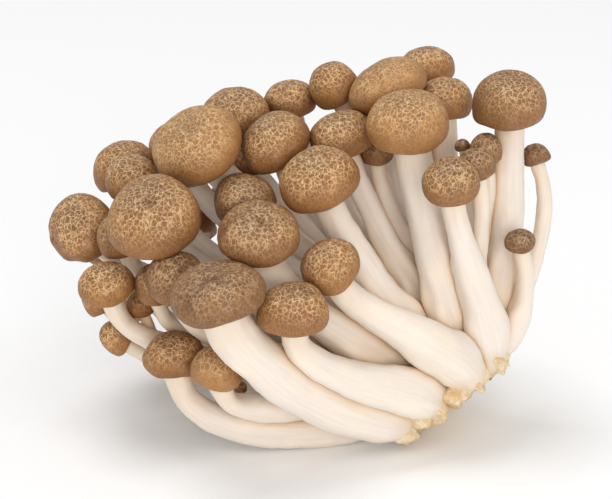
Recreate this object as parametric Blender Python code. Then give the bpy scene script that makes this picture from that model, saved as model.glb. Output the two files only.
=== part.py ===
"""Beech mushroom cluster: a bunch of whole mushrooms grown from one cut base, lying on its side.

Each mushroom is one grown piece, its stem and its cap together. The table below plants them one by
one: where the cap is, which way it faces, how wide and thick it is, and how wide the stem is. The
stems are then led down to the base in the same order as their caps, and crowded stems and caps lean
apart until a thin gap is left between them. Lengths in the tables are millimetres, z is up.
"""

import math

import bmesh
import bpy
import numpy as np

MM = 0.001
SIDES = 10
GAP = 0.42

# The base: the middle of its cut face, the direction it grows in, and two directions in that face.
BASE = np.array((38.0, 10.0, 9.6))
GROWTH = np.array((-0.6, 0.22, 0.77))
CORE_RADIUS = 10.4
CORE_RISE = 1.6

# The turned outline of the base: (radius, height above the cut face).
BASE_OUTLINE = [
    (0.0, 0.0),
    (9.6, 0.0),
    (11.3, 0.5),
    (11.5, 1.8),
    (11.2, 4.0),
    (9.9, 7.2),
    (6.8, 10.3),
    (3.0, 12.1),
    (0.0, 12.6),
]

# The turned outline of a cap: (share of its half width, share of its height above the rim).
CAP_OUTLINE = [
    (0.60, 0.06),
    (0.86, -0.01),
    (1.00, 0.26),
    (0.90, 0.64),
    (0.56, 0.91),
    (0.0, 1.0),
]

# Stem rings, as shares of the stem's length, and the line that the stem follows.
STEM_RINGS = (0.03, 0.13, 0.30, 0.50, 0.70, 0.87)
LINE_POINTS = 28
STIFF_END = 5

# Each row: cap middle, way it faces, cap (width, height), stem (top, low) widths, and
# the stem's place on the base as (spread, turn) in degrees, or None for the usual one.
LEFT = [
    ((-56.4, 13, 52.2), (-0.35, -0.6, 0.72), (17.6, 11.0), (5.6, 5.0), None),
    ((-47.2, 3.4, 53.0), (-0.1, -0.4, 0.9), (11.8, 9.0), (4.8, 4.2), None),
    ((-48, 35, 62), (-0.30, 0.00, 0.95), (16.5, 10.0), (5.8, 5.0), None),
    ((-44, 22, 63), (-0.10, -0.30, 0.95), (14.0, 9.0), (5.8, 5.0), None),
    ((-36.4, -8, 61.4), (-0.16, -0.48, 0.86), (23.0, 12.0), (7.0, 6.0), None),
    ((-47.6, -2.6, 43.2), (-0.1, -0.3, 0.95), (13.6, 7.4), (5.4, 5.2), (55, -166), (-2, 0, -3)),
    ((-52, 11, 35), (-0.5, -0.1, 0.85), (9.0, 7.5), (3.6, 3.0), (62, 168), (0, 3, -2)),
    ((-48, 9, 26.5), (-0.75, -0.15, 0.6), (8.5, 7.5), (4.2, 3.6), (76, 180), (0, 2, -2)),
    ((-38, -3, 43.6), (0.0, -0.3, 0.95), (9.2, 9.0), (4.6, 4.0), (53, -144)),
    ((-39.5, 3, 36), (0.0, -0.3, 0.95), (7.2, 5.4), (3.2, 2.4), (60, -172), (0, 0, -1)),
]
CROWN = [
    ((-26, 12, 74), (-0.45, -0.5, 0.74), (23.0, 10.8), (7.6, 6.6), None),
    ((-30, 28, 73), (-0.30, 0.00, 0.95), (15.0, 9.0), (5.8, 5.0), None),
    ((-19.6, 30, 76.8), (-0.1, -0.3, 0.95), (17.5, 9.8), (6.4, 5.6), None),
    ((-4, 38, 80), (-0.15, -0.20, 0.97), (13.3, 7.5), (5.3, 5.0), None),
    ((6, 34, 84), (-0.45, -0.10, 0.85), (12.5, 10.0), (5.8, 5.6), None),
    ((-7, 14, 76), (-0.45, -0.25, 0.85), (18, 10.0), (7.2, 6.2), None),
    ((7.4, 18, 77.2), (-0.28, -0.2, 0.93), (16.0, 9.0), (5.8, 5.6), None),
    ((20, 26, 86), (-0.45, -0.1, 0.88), (20.0, 9.4), (7.0, 6.6), None),
    ((31, 42, 87.4), (-0.1, 0.0, 1.0), (14.5, 8), (5.3, 5.0), None),
    ((23.8, 6, 83.4), (-0.15, -0.2, 0.96), (20.8, 11), (9.0, 8.6), (58, -60)),
    ((36, 26, 83), (0.0, -0.1, 0.98), (14.0, 9.0), (6.2, 6.6), None),
]
RIGHT = [
    ((46.2, 12, 86), (-0.05, -0.25, 0.96), (18.4, 10.5), (7.0, 8.0), None),
    ((57, 20, 70), (-0.3, 0.0, 0.95), (7, 4.6), (3.8, 5.4), (88, 15), (5, 0, -4)),
    ((52.3, 4, 52.8), (-0.05, -0.2, 0.98), (7.8, 4.2), (4.2, 6.2), (88, -22), (6, 0, -2)),
    ((35.2, -5, 71.7), (-0.1, -0.4, 0.9), (13.6, 8.5), (5.4, 10.6), (86, -42)),
    ((41, 2, 72.8), (-0.25, -0.2, 0.95), (9.2, 6.5), (3.8, 5.2), (62, -26)),
    ((45, 5, 74), (-0.1, -0.2, 0.97), (8.5, 6.5), (4.0, 5.6), (66, -5)),
    ((40, 14, 74), (-0.2, -0.1, 0.95), (3.8, 2.5), (1.9, 2.5), None),
]
FRONT = [
    ((2.5, -4, 70.6), (-0.28, -0.34, 0.9), (19.2, 10.4), (7.4, 9.0), (52, -92)),
    ((-14.6, 2, 62.0), (0.0, -0.5, 0.86), (15.6, 8.4), (6.4, 5.6), None),
    ((-13, -14, 57.8), (-0.05, -0.3, 0.95), (20.6, 9.2), (9.8, 9.4), (62, -122)),
    ((5.2, -12, 51.6), (-0.25, -0.4, 0.88), (14.4, 9), (6.8, 11.8), (88, -72)),
    ((-8.0, -16, 41.4), (0.05, -0.2, 0.97), (16.8, 9), (6.4, 11.6), (90, -112), (-2, 0, -3)),
    ((-21.6, -20, 51.8), (-0.2, -0.2, 0.96), (22.8, 8.6), (12.2, 13.6), (88, -154), (2, -1, -1)),
    ((-32.6, -6, 47.0), (0.0, -0.3, 0.95), (15.0, 9.4), (6.4, 6.4), None),
    ((-28, -8, 25.5), (0.0, -0.2, 0.97), (14.2, 9.0), (7.2, 7.4), (86, 176), (4, -10, -10)),
    ((-19.2, -16, 28.0), (0.05, -0.2, 0.96), (13.0, 9.0), (6.8, 7.0), (76, -166), (4, -2, -1)),
    ((-30, 10, 28.2), (-0.2, -0.2, 0.9), (6.5, 5.0), (2.6, 2.4), (56, 168)),
    ((-16, -3, 16), (0.1, -0.2, 0.95), (3.4, 2.6), (1.5, 1.5), None),
]
INNER = [
    ((-16, 22, 66), (-0.20, -0.20, 0.95), (11.0, 6.5), (4.8, 4.5), None),
    ((17, 20, 71), (-0.10, -0.20, 0.95), (9.0, 6.5), (4.2, 4.5), None),
]
REAR = [
    ((-48, 36, 44), (-0.45, 0.15, 0.85), (17.0, 10.0), (5.5, 4.9), None),
    ((-38, 48, 54), (-0.35, 0.35, 0.85), (19.5, 11.0), (5.9, 5.2), None),
    ((-23, 52, 66), (-0.25, 0.35, 0.9), (19.5, 11.0), (5.9, 5.4), None),
    ((-7, 57, 63), (-0.15, 0.45, 0.88), (18.0, 10.5), (5.9, 5.2), None),
    ((9, 58, 62), (0.0, 0.5, 0.86), (17.0, 10.0), (5.7, 4.9), None),
    ((23, 54, 71), (0.05, 0.4, 0.9), (17.0, 10.0), (5.7, 5.2), None),
    ((47, 40, 62), (0.25, 0.4, 0.88), (11.5, 7.0), (4.7, 4.5), None),
    ((-42, 37, 28), (-0.6, 0.3, 0.72), (15.0, 10.0), (5.1, 4.9), None),
    ((-34, 50, 40), (-0.45, 0.5, 0.74), (18.0, 10.5), (5.7, 5.2), None),
    ((-18, 58, 48), (-0.25, 0.6, 0.76), (18.0, 10.5), (5.7, 5.2), None),
    ((0, 61, 45), (-0.05, 0.65, 0.76), (17.0, 10.0), (5.5, 4.9), None),
    ((30, 53, 32), (0.3, 0.7, 0.65), (12.5, 8.0), (4.9, 4.7), None),
    ((-26, 46, 8), (-0.45, 0.7, 0.25), (17.0, 10.5), (5.7, 5.4), None),
    ((-7, 54, 7.5), (-0.1, 0.85, 0.25), (16.0, 10.0), (5.5, 5.2), None),
    ((14, 53, 6.5), (0.15, 0.85, 0.28), (13.5, 9.0), (5.3, 4.9), None),
]
REGIONS = {
    "left": LEFT,
    "crown": CROWN,
    "right": RIGHT,
    "front": FRONT,
    "inner": INNER,
    "rear": REAR,
}

SPREADING = 1.7
STRAIGHT = (0.0, 0.0, 0.0)
ROUNDS = 440
SETTLING = 220


def unit(vector):
    vector = np.asarray(vector, float)
    return vector / np.linalg.norm(vector, axis=-1, keepdims=True)


GROWTH = unit(GROWTH)
ACROSS = unit((0.8, 0.185, 0.571) - GROWTH * np.dot((0.8, 0.185, 0.571), GROWTH))
BEHIND = np.cross(ACROSS, GROWTH) * -1.0


class Mushroom:
    """One row of the planting tables, with the line that its stem follows from foot to rim."""

    def __init__(self, name, row, seed):
        middle, facing, size, stem, place, bow = (*row, STRAIGHT)[:6]
        self.name = name
        self.seed = seed
        self.axis = unit(facing)
        self.half_width, self.height = size[0] / 2, size[1]
        self.top, self.low = stem[0] / 2, stem[1] / 2
        self.rim = np.array(middle, float) - self.axis * 0.45 * self.height
        self.line = self.stem_line(*(place or self.usual_place()), np.array(bow))
        self.squeezed = np.ones(LINE_POINTS)

    def usual_place(self):
        """Stems stand on the base in the same order as their caps in the head."""
        way = unit(self.rim - BASE)
        spread = math.degrees(math.acos(np.dot(way, GROWTH))) * SPREADING
        turn = math.degrees(math.atan2(np.dot(way, BEHIND), np.dot(way, ACROSS)))
        return min(spread, 88.0), turn

    def stem_line(self, spread, turn, bow):
        spread, turn = math.radians(spread), math.radians(turn)
        side = ACROSS * math.cos(turn) + BEHIND * math.sin(turn)
        way = GROWTH * math.cos(spread) + side * math.sin(spread)
        reach = CORE_RADIUS + self.low + 1.5 + 6.0 * (1 - spread / (math.pi / 2))
        foot = BASE + GROWTH * CORE_RISE + way * reach
        length = np.linalg.norm(self.rim - foot)
        leave = unit(GROWTH * 0.75 + way * 0.55 + unit(self.rim - foot) * 0.6)
        bend = [
            foot,
            foot + leave * length * 0.33 + bow,
            self.rim - self.axis * length * 0.30 + bow / 2,
            self.rim,
        ]
        return bezier(bend, LINE_POINTS)

    def width_at(self, share):
        """Half width of the stem at this share of its length, narrowing where it joins the base."""
        eased = share * share * (3 - 2 * share)
        start = 0.7 + 0.3 * min(1.0, share / 0.16)
        squeeze = np.interp(share, np.linspace(0, 1, LINE_POINTS), self.squeezed)
        return (self.low + (self.top - self.low) * eased) * start * squeeze


def bezier(corners, count):
    t = np.linspace(0, 1, 6 * count)[:, None]
    a, b, c, d = corners
    path = (1 - t) ** 3 * a + 3 * (1 - t) ** 2 * t * b + 3 * (1 - t) * t**2 * c + t**3 * d
    return evenly(path, count)


def evenly(path, count):
    steps = np.linalg.norm(np.diff(path, axis=0), axis=1)
    along = np.concatenate([[0], np.cumsum(steps)])
    at = np.linspace(0, along[-1], count)
    return np.stack([np.interp(at, along, path[:, k]) for k in range(3)], axis=1)


def side_directions(axis):
    """Two directions at right angles to the axis."""
    helper = np.array((0.0, 0.0, 1.0)) if abs(axis[2]) < 0.8 else np.array((1.0, 0.0, 0.0))
    first = unit(np.cross(axis, helper))
    return first, np.cross(axis, first)


class Crowd:
    """All the mushrooms as strings of balls, which lean apart where they press on each other."""

    def __init__(self, mushrooms):
        self.mushrooms = mushrooms
        self.home = np.stack([m.line for m in mushrooms])
        self.moved = np.zeros_like(self.home)
        self.measure()
        numbers = np.arange(len(mushrooms))
        caps = self.cap_offsets.shape[1]
        self.owner = np.concatenate([np.repeat(numbers, LINE_POINTS), np.repeat(numbers, caps)])

    def measure(self):
        shares = np.linspace(0, 1, LINE_POINTS)
        stem_radii = np.array([[m.width_at(s) for s in shares] for m in self.mushrooms])
        balls = [cap_balls(m) for m in self.mushrooms]
        self.cap_offsets = np.stack([b[0] for b in balls])
        cap_radii = np.stack([b[1] for b in balls])
        self.radii = np.concatenate([stem_radii.ravel(), cap_radii.ravel()])

    def lines(self):
        return self.home + self.moved

    def balls(self):
        lines = self.lines()
        caps = lines[:, -1:, :] + self.cap_offsets
        return np.concatenate([lines.reshape(-1, 3), caps.reshape(-1, 3)])

    def near(self):
        """Pairs of balls of different mushrooms that may touch soon."""
        balls = self.balls()
        spare = np.empty((len(balls), len(balls)), bool)
        for start in range(0, len(balls), 200):
            part = slice(start, start + 200)
            apart = np.linalg.norm(balls[part, None] - balls[None], axis=2)
            reach = self.radii[part, None] + self.radii[None] + 3.0
            spare[part] = (apart < reach) & (self.owner[part, None] < self.owner[None])
        return np.nonzero(spare)

    def pushes(self, first, second):
        """How each ball is pushed by those it presses on, by the base and by the table."""
        balls = self.balls()
        away = balls[first] - balls[second]
        apart = np.linalg.norm(away, axis=1)
        lap = self.radii[first] + self.radii[second] + GAP - apart
        hit = lap > 0
        first, second = first[hit], second[hit]
        push = away[hit] / apart[hit, None] * lap[hit, None] * 0.5
        total, count = np.zeros_like(balls), np.zeros(len(balls))
        np.add.at(total, first, push)
        np.add.at(total, second, -push)
        np.add.at(count, first, 1)
        np.add.at(count, second, 1)
        total /= np.maximum(count, 1)[:, None]
        return total, count > 0

    def walls(self):
        """What it takes to bring each ball out of the base and up onto the table."""
        balls = self.balls()
        out = np.zeros_like(balls)
        from_core = balls - (BASE + GROWTH * CORE_RISE)
        apart = np.linalg.norm(from_core, axis=1)
        lap = CORE_RADIUS + self.radii + GAP - apart
        out += from_core / apart[:, None] * np.maximum(lap, 0)[:, None]
        low = 0.5 + 0.75 * self.radii - (balls - BASE) @ GROWTH
        out += GROWTH * np.maximum(low, 0)[:, None]
        out[:, 2] += np.maximum(self.radii + 0.05 - balls[:, 2] - out[:, 2], 0)
        return out

    def lean(self, total, hit):
        """Moves stems by their own balls, and each cap by the mean of its balls that are pushed."""
        count = len(self.mushrooms)
        stem_part = count * LINE_POINTS
        self.moved += total[:stem_part].reshape(count, LINE_POINTS, 3)
        cap_push = total[stem_part:].reshape(count, -1, 3)
        cap_hit = hit[stem_part:].reshape(count, -1, 1)
        whole = cap_push.sum(axis=1) / np.maximum(cap_hit.sum(axis=1), 1)
        self.moved[:, -STIFF_END:] += whole[:, None] * 1.2

    def smooth(self, home_pull):
        """Spreads each move along its stem, and keeps the stem's last stretch in line with the cap."""
        for _ in range(4):
            middle = (self.moved[:, :-2] + self.moved[:, 2:]) / 2
            self.moved[:, 1:-1] += (middle - self.moved[:, 1:-1]) * 0.4
        self.moved[:, -STIFF_END:] = self.moved[:, -STIFF_END:].mean(axis=1, keepdims=True)
        self.moved -= self.moved * home_pull

    def settle(self):
        pull = np.array((0.030, 0.004, 0.030))
        for step in range(ROUNDS):
            if step % 8 == 0:
                first, second = self.near()
            total, hit = self.pushes(first, second)
            self.lean(total, hit)
            self.smooth(pull if step < ROUNDS - SETTLING else 0.0)
            walls = self.walls()
            self.lean(walls, np.abs(walls).sum(axis=1) > 0)


    def squeeze(self):
        """Thins a stem where it is still pressed after leaning, and shrinks a cap that is."""
        count = len(self.mushrooms)
        apart_needed = GAP - 0.08
        for _ in range(3):
            first, second = self.near()
            balls = self.balls()
            apart = np.linalg.norm(balls[first] - balls[second], axis=1)
            lap = self.radii[first] + self.radii[second] + apart_needed - apart
            most = np.zeros(len(balls))
            np.maximum.at(most, first, lap / 2)
            np.maximum.at(most, second, lap / 2)
            factor = 1 - np.minimum(most / self.radii, 0.6)
            stems = factor[: count * LINE_POINTS].reshape(count, LINE_POINTS)
            caps = factor[count * LINE_POINTS :].reshape(count, -1).min(axis=1)
            for mushroom, stem, cap in zip(self.mushrooms, stems, caps):
                mushroom.squeezed *= beside(stem)
                mushroom.half_width *= 0.4 + 0.6 * cap
                mushroom.height *= 0.4 + 0.6 * cap
            self.measure()


def beside(factors):
    """Each factor lowered to those beside it, so that a thinned stretch has no step."""
    padded = np.pad(factors, 1, mode="edge")
    lowest = np.minimum(np.minimum(padded[:-2], padded[1:-1]), padded[2:])
    padded = np.pad(lowest, 1, mode="edge")
    return np.minimum(lowest, (padded[:-2] + padded[1:-1] + padded[2:]) / 3)


def cap_balls(mushroom):
    """Balls that fill a cap: a ring at the rim, a ring higher up, and one in the middle."""
    wide, high, axis = mushroom.half_width * 1.04, mushroom.height, mushroom.axis
    first, second = side_directions(axis)
    offsets, radii = [axis * high * 0.52], [min(high * 0.47, wide * 0.9)]
    for count, radius, reach, level in ((10, 0.27, 1.0, 0.26), (6, 0.36, 0.93, 0.55)):
        ball = min(radius * high, wide * 0.5)
        for turn in np.linspace(0, 2 * math.pi, count, endpoint=False):
            side = first * math.cos(turn) + second * math.sin(turn)
            offsets.append(side * (wide * reach - ball) + axis * high * level)
            radii.append(ball)
    return np.array(offsets), np.array(radii)


def turned(outline, sides):
    """A bmesh made by turning an outline of (radius, height) round the z axis."""
    shape = bmesh.new()
    points = [shape.verts.new((radius, 0, height)) for radius, height in outline]
    edges = [shape.edges.new(pair) for pair in zip(points, points[1:])]
    bmesh.ops.spin(
        shape,
        geom=points + edges,
        cent=(0, 0, 0),
        axis=(0, 0, 1),
        angle=2 * math.pi,
        steps=sides,
        use_merge=True,
    )
    bmesh.ops.remove_doubles(shape, verts=shape.verts, dist=1e-5)
    bmesh.ops.recalc_face_normals(shape, faces=shape.faces)
    return shape


def mushroom_outline(mushroom, length):
    """The outline from the foot, up the stem, under the cap and over its top."""
    outline = [(0.0, -0.45 * mushroom.width_at(0))]
    outline += [(mushroom.width_at(s), s * length) for s in STEM_RINGS]
    outline.append((mushroom.top, length + 0.10 * mushroom.height))
    for share, level in CAP_OUTLINE:
        outline.append((share * mushroom.half_width, length + level * mushroom.height))
    return outline


class Guide:
    """The line of a stem, run on straight through the cap, with a frame that never twists."""

    def __init__(self, mushroom, line):
        self.line = line
        steps = np.linalg.norm(np.diff(line, axis=0), axis=1)
        self.along = np.concatenate([[0], np.cumsum(steps)])
        self.length = self.along[-1]
        self.tangents = unit(np.gradient(line, axis=0))
        self.tangents[-STIFF_END:] = mushroom.axis
        self.firsts = [side_directions(self.tangents[0])[0]]
        for tangent in self.tangents[1:]:
            last = self.firsts[-1]
            self.firsts.append(unit(last - tangent * np.dot(last, tangent)))
        self.firsts = np.array(self.firsts)

    def read(self, table, at):
        return np.array([np.interp(at, self.along, table[:, k]) for k in range(3)])

    def place(self, x, y, at):
        inside = min(max(at, 0.0), self.length)
        tangent = unit(self.read(self.tangents, inside))
        first = self.read(self.firsts, inside)
        first = unit(first - tangent * np.dot(first, tangent))
        second = np.cross(tangent, first)
        middle = self.read(self.line, inside) + tangent * (at - inside)
        return middle + first * x + second * y


def grown_outline(mushroom, turn, cap_share):
    """How far out of round the mushroom is in this direction: caps are a little oval and lobed."""
    oval = 0.030 * math.cos(2 * turn + mushroom.seed) + 0.012 * math.cos(3 * turn + 2 * mushroom.seed)
    flat = 0.035 * math.cos(2 * turn - mushroom.seed)
    return 1 + cap_share * oval + (1 - cap_share) * flat - 0.01


def make_mushroom(mushroom, line, materials, collection):
    guide = Guide(mushroom, line)
    shape = turned(mushroom_outline(mushroom, guide.length), SIDES)
    foot = line[0].copy()
    start = guide.length
    for face in shape.faces:
        low = min(v.co.z for v in face.verts)
        face.material_index = int(low >= start - 0.02 * mushroom.height)
        face.smooth = True
    for vert in shape.verts:
        turn = math.atan2(vert.co.y, vert.co.x)
        cap_share = float(vert.co.z > start - 0.05 * mushroom.height)
        out = grown_outline(mushroom, turn, cap_share)
        vert.co = (guide.place(vert.co.x * out, vert.co.y * out, vert.co.z) - foot) * MM
    return finish(mushroom.name, shape, foot * MM, materials, collection)


def make_base(material, collection):
    """The cut foot of the bunch: a flat cut face with a torn edge, and the lump the stems grow from."""
    shape = turned(BASE_OUTLINE, 20)
    for vert in shape.verts:
        turn = math.atan2(vert.co.y, vert.co.x)
        torn = 0.035 * math.sin(3 * turn + 1) + 0.03 * math.sin(5 * turn) - 0.045
        out = 1 + torn * min(1.0, math.hypot(vert.co.x, vert.co.y) / 12)
        x, y, z = vert.co.x * out, vert.co.y * out, vert.co.z
        vert.co = (ACROSS * x + BEHIND * y + GROWTH * z) * MM
    for face in shape.faces:
        face.smooth = True
    bmesh.ops.recalc_face_normals(shape, faces=shape.faces)
    return finish("cut_base", shape, BASE * MM, [material], collection)


def finish(name, shape, origin, materials, collection):
    mesh = bpy.data.meshes.new(name)
    shape.to_mesh(mesh)
    shape.free()
    for material in materials:
        mesh.materials.append(material)
    made = bpy.data.objects.new(name, mesh)
    made.location = origin
    collection.objects.link(made)
    return made


def make_material(name, colour, roughness):
    material = bpy.data.materials.new(name)
    material.use_nodes = True
    shader = material.node_tree.nodes["Principled BSDF"]
    shader.inputs["Base Color"].default_value = (*colour, 1)
    shader.inputs["Roughness"].default_value = roughness
    material.diffuse_color = (*colour, 1)
    return material


def stand_on_origin(pieces):
    """Moves the bunch so that its box stands on the origin, centred."""
    bpy.context.view_layer.update()
    corners = [p.matrix_world @ v.co for p in pieces for v in p.data.vertices]
    low = [min(c[k] for c in corners) for k in range(3)]
    high = [max(c[k] for c in corners) for k in range(3)]
    for piece in pieces:
        piece.location.x -= (low[0] + high[0]) / 2
        piece.location.y -= (low[1] + high[1]) / 2
        piece.location.z -= low[2]


def main():
    for old in list(bpy.data.objects):
        bpy.data.objects.remove(old)
    collection = bpy.data.collections.new("beech_mushroom_cluster")
    bpy.context.scene.collection.children.link(collection)
    flesh = make_material("stem_flesh", (0.88, 0.80, 0.68), 0.5)
    skin = make_material("cap_skin", (0.48, 0.29, 0.13), 0.5)
    cut = make_material("cut_base", (0.72, 0.54, 0.32), 0.8)
    mushrooms = []
    for region, rows in REGIONS.items():
        for number, row in enumerate(rows, 1):
            seed = 1.7 * len(mushrooms)
            mushrooms.append(Mushroom(f"mushroom_{region}_{number}", row, seed))
    crowd = Crowd(mushrooms)
    crowd.settle()
    crowd.squeeze()
    pieces = [make_base(cut, collection)]
    for mushroom, line in zip(mushrooms, crowd.lines()):
        pieces.append(make_mushroom(mushroom, line, [flesh, skin], collection))
    stand_on_origin(pieces)


main()
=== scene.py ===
"""Looks of the beech mushroom cluster.

Each mushroom gets a fine cap, gills and stem that follow its CAD solid, and the base gets torn
tissue. Lengths are in mm up to mesh_object, which turns them into metres.
"""

import math
from itertools import combinations

import bpy
import numpy as np
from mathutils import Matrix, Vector
from mathutils.bvhtree import BVHTree


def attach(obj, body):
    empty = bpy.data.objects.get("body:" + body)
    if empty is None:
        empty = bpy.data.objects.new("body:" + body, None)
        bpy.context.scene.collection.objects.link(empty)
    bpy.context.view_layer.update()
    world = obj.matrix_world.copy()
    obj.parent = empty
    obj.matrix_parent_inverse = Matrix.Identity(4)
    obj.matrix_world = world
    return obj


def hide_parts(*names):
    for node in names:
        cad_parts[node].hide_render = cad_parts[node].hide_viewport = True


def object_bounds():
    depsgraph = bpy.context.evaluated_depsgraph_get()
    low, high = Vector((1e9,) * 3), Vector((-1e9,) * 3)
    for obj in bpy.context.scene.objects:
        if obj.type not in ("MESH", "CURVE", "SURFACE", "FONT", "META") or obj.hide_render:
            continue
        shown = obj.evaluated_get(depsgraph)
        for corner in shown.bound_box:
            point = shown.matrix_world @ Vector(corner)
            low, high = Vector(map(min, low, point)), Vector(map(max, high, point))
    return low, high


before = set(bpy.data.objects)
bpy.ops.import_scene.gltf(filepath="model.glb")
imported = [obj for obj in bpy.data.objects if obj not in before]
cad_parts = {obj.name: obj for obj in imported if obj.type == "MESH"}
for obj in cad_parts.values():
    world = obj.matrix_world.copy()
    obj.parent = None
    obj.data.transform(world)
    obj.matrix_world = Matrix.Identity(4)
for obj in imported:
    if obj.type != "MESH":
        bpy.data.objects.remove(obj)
cad_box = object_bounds()

MM = 0.001
TAU = 2 * math.pi
RING_CORNERS = 10  # of every ring of a mushroom's CAD solid
# The rings that mark a mushroom's parts, counted from the point of its foot.
NECK_RING, RIM_RING, TOP_RING = 7, 10, 13
RIM_LEVEL, OVER_RIM = 0.26, 0.74  # shares of a cap's height below and above its widest ring
TABLE_GAP = 0.03
BODY_MIDDLE = 4.0  # where the base's body has its middle, above its cut face


def unit(vector):
    """The same direction or directions, of length 1."""
    vector = np.asarray(vector, float)
    return vector / np.linalg.norm(vector, axis=-1, keepdims=True)


def smoothstep(low, high, x):
    t = np.clip((np.asarray(x, float) - low) / (high - low), 0, 1)
    return t * t * (3 - 2 * t)


def bell(x, width):
    """A bump of height 1 around 0."""
    return np.exp(-((x / width) ** 2))


# ---- reading the CAD solids


def welded(node):
    """The node's corners in mm, each once, and its triangles."""
    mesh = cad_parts[node].data
    flat = np.empty(len(mesh.vertices) * 3)
    mesh.vertices.foreach_get("co", flat)
    points = flat.reshape(-1, 3) / MM
    rounded = np.round(points, 3)
    _, first, index = np.unique(rounded, axis=0, return_index=True, return_inverse=True)
    index = index.reshape(-1)
    faces = np.array([[index[v] for v in polygon.vertices] for polygon in mesh.polygons])
    return points[first], faces


def rings_of(node, root):
    """The rings of a mushroom's solid, from the point of its foot to the top of its cap."""
    points, faces = welded(node)
    near = [set() for _ in points]
    for a, b, c in faces:
        near[a] |= {b, c}
        near[b] |= {a, c}
        near[c] |= {a, b}
    poles = [i for i, others in enumerate(near) if len(others) == RING_CORNERS]
    foot = min(poles, key=lambda i: np.linalg.norm(points[i] - root))
    seen, layer, rings = {foot}, {foot}, []
    while layer:
        rings.append(points[sorted(layer)])
        layer = set().union(*(near[i] for i in layer)) - seen
        seen |= layer
    return rings


def hermite(table, along, at):
    """A smooth curve through the rows of a table, read at these places along it."""
    table = np.asarray(table, float).reshape(len(along), -1)
    steps = np.diff(along)[:, None]
    slopes = np.diff(table, axis=0) / steps
    inner = (slopes[:-1] * steps[1:] + slopes[1:] * steps[:-1]) / (steps[:-1] + steps[1:])
    tangents = np.vstack([slopes[:1], inner, slopes[-1:]])
    at = np.clip(at, along[0], along[-1])
    k = np.clip(np.searchsorted(along, at, side="right") - 1, 0, len(along) - 2)
    h = steps[k]
    t = ((at - along[k]) / h[:, 0])[:, None]
    a, b = table[k], table[k + 1]
    ta, tb = tangents[k] * h, tangents[k + 1] * h
    return (
        (2 * t**3 - 3 * t**2 + 1) * a
        + (t**3 - 2 * t**2 + t) * ta
        + (3 * t**2 - 2 * t**3) * b
        + (t**3 - t**2) * tb
    )


def waves(turns):
    """The out-of-round shapes that a ring may have."""
    turns = np.asarray(turns, float)
    shapes = [np.ones_like(turns)]
    for times in (2, 3):
        shapes += [np.cos(times * turns), np.sin(times * turns)]
    return np.stack(shapes, axis=-1)


def side_of(axis):
    """A direction across this one."""
    other = np.array((0.0, 0.0, 1.0)) if abs(axis[2]) < 0.9 else np.array((1.0, 0.0, 0.0))
    return unit(np.cross(other, axis))


def carried(firsts_start, tangents):
    """A side direction carried along a line without twisting."""
    firsts = [firsts_start]
    for tangent in tangents[1:]:
        last = firsts[-1]
        firsts.append(unit(last - tangent * np.dot(last, tangent)))
    return np.array(firsts)


def spokes(first, second, turns):
    """The directions at these turns round a middle, from its two ways across."""
    return first * np.cos(turns)[:, None] + second * np.sin(turns)[:, None]


def on_grid(*parts):
    """Values that vary by row, by column or by both, as one vector for each point of a grid."""
    return np.stack(np.broadcast_arrays(*parts), axis=-1)


def turns_of(sides):
    return np.linspace(0, TAU, sides, endpoint=False)


def ring_shape(ring, middle, first, second):
    """How round a ring is, as the shares of the shapes in waves()."""
    flat = ring - middle
    x, y = flat @ first, flat @ second
    turns, reach = np.arctan2(y, x), np.hypot(x, y)
    return np.linalg.lstsq(waves(turns), reach, rcond=None)[0]


class Ripples:
    """A smooth random field: a sum of plane waves of about one wavelength."""

    def __init__(self, rng, wavelength, count=22):
        ways = unit(rng.normal(size=(count, 3)))
        lengths = wavelength * rng.uniform(0.75, 1.35, count)
        self.ways = ways * (TAU / lengths)[:, None]
        self.starts = rng.uniform(0, TAU, count)
        self.scale = math.sqrt(2 / count)

    def __call__(self, points):
        return np.cos(points @ self.ways.T + self.starts).sum(axis=-1) * self.scale


# The directions of the picture. The camera looks along them, and marks are placed by them.
TILT = math.radians(18)
PICTURE_RIGHT = np.array((1.0, 0.0, 0.0))
PICTURE_UP = np.array((0.0, math.sin(TILT), math.cos(TILT)))
PICTURE_NEAR = np.array((0.0, -math.cos(TILT), math.sin(TILT)))


def facing(right, up):
    """The way from a cap's middle to a spot, seen across and up in shares of its half width."""
    near = math.sqrt(max(0.0, 1 - right * right - up * up))
    return unit(PICTURE_RIGHT * right + PICTURE_UP * up + PICTURE_NEAR * near)


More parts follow.
